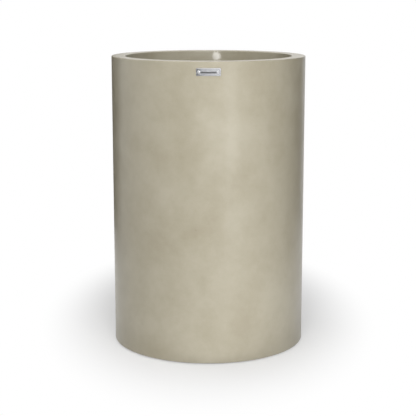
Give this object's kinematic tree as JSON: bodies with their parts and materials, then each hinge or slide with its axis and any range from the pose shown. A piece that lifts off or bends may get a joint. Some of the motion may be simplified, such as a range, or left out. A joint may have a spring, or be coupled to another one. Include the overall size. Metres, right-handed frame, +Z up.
{
  "type": "tall round planter",
  "caption": "Tall straight-sided round floor planter in satin glass-fibre, with a flat rim, an inner return lip, drain plugs and a small metal plate below the rim.",
  "frame": {"origin": "on the ground, on the planter's axis, under the middle of the base", "axes": "+Z up along the planter's axis; -Y out of the front, where the small metal plate is; +X to the right seen from the front"},
  "size_m": [0.5, 0.5018, 0.753],
  "materials": {
    "satin_gelcoat": "satin stone-coloured coat on glass fibre, softly mottled with a fine grain",
    "base_laminate": "matt coat over glass-fibre mat",
    "bonding_putty": "matt filled resin, smoothed by hand",
    "plate_metal": "bright satin, bare of any text",
    "rivet_metal": "bright",
    "stem_steel": "dull, with a broken end",
    "plug_rubber": "matt black",
    "pad_rubber": "matt black"
  },
  "bodies": {
    "planter": {"wall_tube": "satin_gelcoat", "rim_ring": "satin_gelcoat", "base_pan": "base_laminate", "rim_bond_bead": "bonding_putty", "base_bond_bead": "bonding_putty", "name_plate": "plate_metal", "plate_rivets": "rivet_metal", "rivet_stems": "stem_steel", "rivet_washers": "rivet_metal", "foot_pad_1": "pad_rubber", "foot_pad_2": "pad_rubber", "foot_pad_3": "pad_rubber", "foot_pad_4": "pad_rubber"},
    "plug_1": {"drain_plug_1": "plug_rubber"},
    "plug_2": {"drain_plug_2": "plug_rubber"},
    "plug_3": {"drain_plug_3": "plug_rubber"}
  },
  "joints": [
    {"name": "plug_1_pull", "type": "slide", "parent": "planter", "child": "plug_1", "axis": [0, 0, 1], "range_m": [0, 0.03]},
    {"name": "plug_2_pull", "type": "slide", "parent": "planter", "child": "plug_2", "axis": [0, 0, 1], "range_m": [0, 0.03]},
    {"name": "plug_3_pull", "type": "slide", "parent": "planter", "child": "plug_3", "axis": [0, 0, 1], "range_m": [0, 0.03]}
  ]
}
